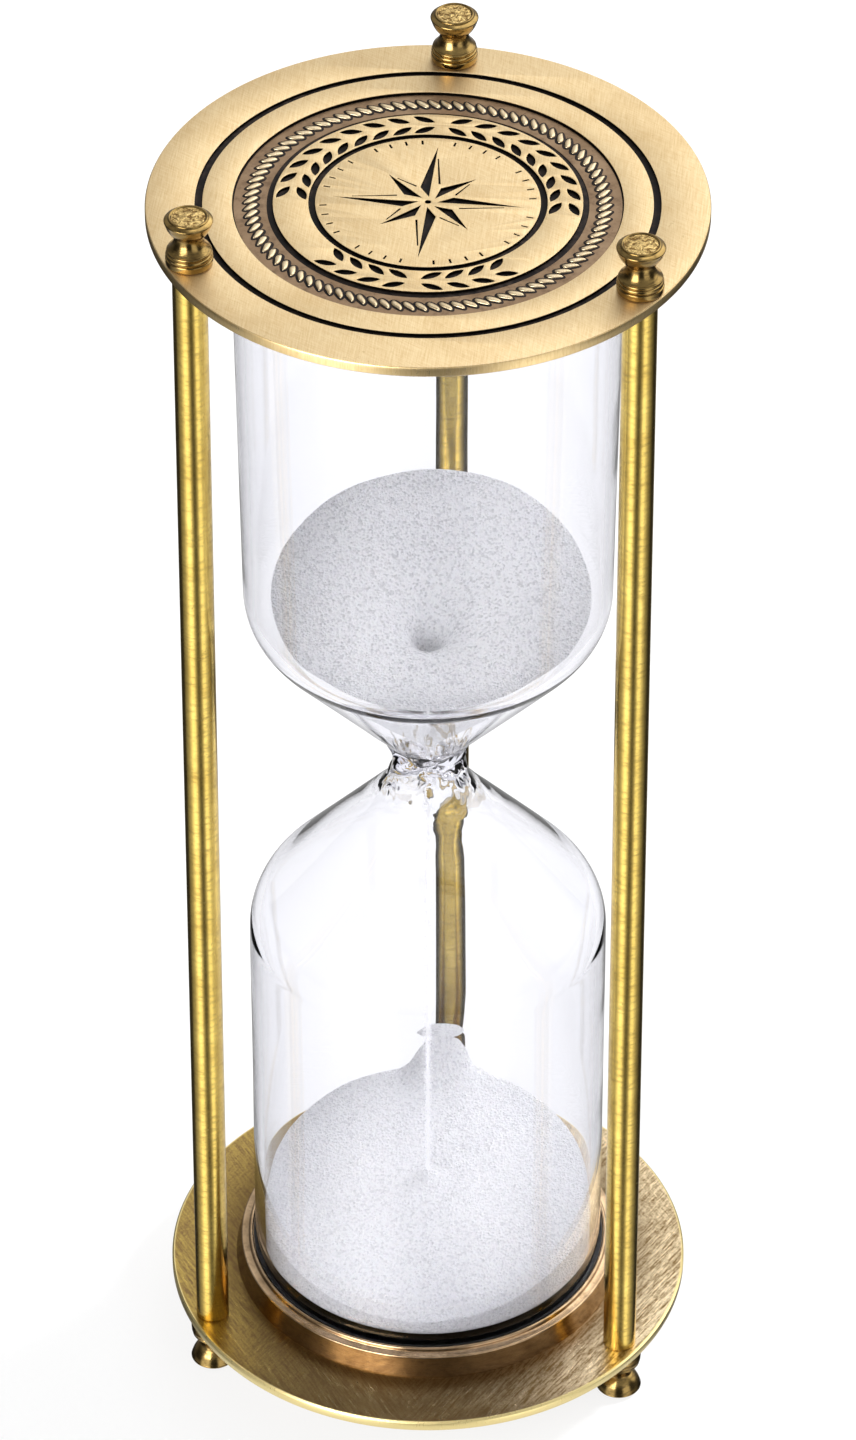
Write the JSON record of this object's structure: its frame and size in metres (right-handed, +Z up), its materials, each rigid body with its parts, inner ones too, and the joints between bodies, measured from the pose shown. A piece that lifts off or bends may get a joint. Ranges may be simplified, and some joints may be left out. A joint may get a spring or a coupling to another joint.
{
  "type": "hourglass",
  "caption": "Tall brass hourglass: two engraved round plates on three pillars hold a clear two-bulb glass with white sand; turned finials serve as feet.",
  "frame": {"origin": "centre of the circle of feet, on the surface that the hourglass stands on", "axes": "+Z up along the glass; the back pillar is towards +Y and the two front pillars are at 210 and 330 degrees from +X"},
  "size_m": [0.096, 0.096, 0.2591],
  "materials": {
    "plate_brass": "satin",
    "ring_brass": "polished",
    "pillar_brass": "polished",
    "finial_brass": "polished",
    "rod_steel": "satin",
    "gasket_rubber": "matte",
    "pad_felt": "matte",
    "stopper_rubber": "matte",
    "clear_glass": "gloss",
    "white_sand": "matte"
  },
  "bodies": {
    "root": {"top_plate": "plate_brass", "bottom_plate": "plate_brass", "top_glass_ring": "ring_brass", "bottom_glass_ring": "ring_brass", "top_gasket": "gasket_rubber", "bottom_gasket": "gasket_rubber", "top_cushion_pad": "pad_felt", "bottom_cushion_pad": "pad_felt", "glass_vessel": "clear_glass", "fill_stopper": "stopper_rubber", "upper_sand": "white_sand", "sand_stream": "white_sand", "lower_sand": "white_sand", "pillar_back": "pillar_brass", "tie_rod_back": "rod_steel", "top_finial_back": "finial_brass", "bottom_finial_back": "finial_brass", "pillar_front_left": "pillar_brass", "tie_rod_front_left": "rod_steel", "top_finial_front_left": "finial_brass", "bottom_finial_front_left": "finial_brass", "pillar_front_right": "pillar_brass", "tie_rod_front_right": "rod_steel", "top_finial_front_right": "finial_brass", "bottom_finial_front_right": "finial_brass"}
  },
  "joints": []
}
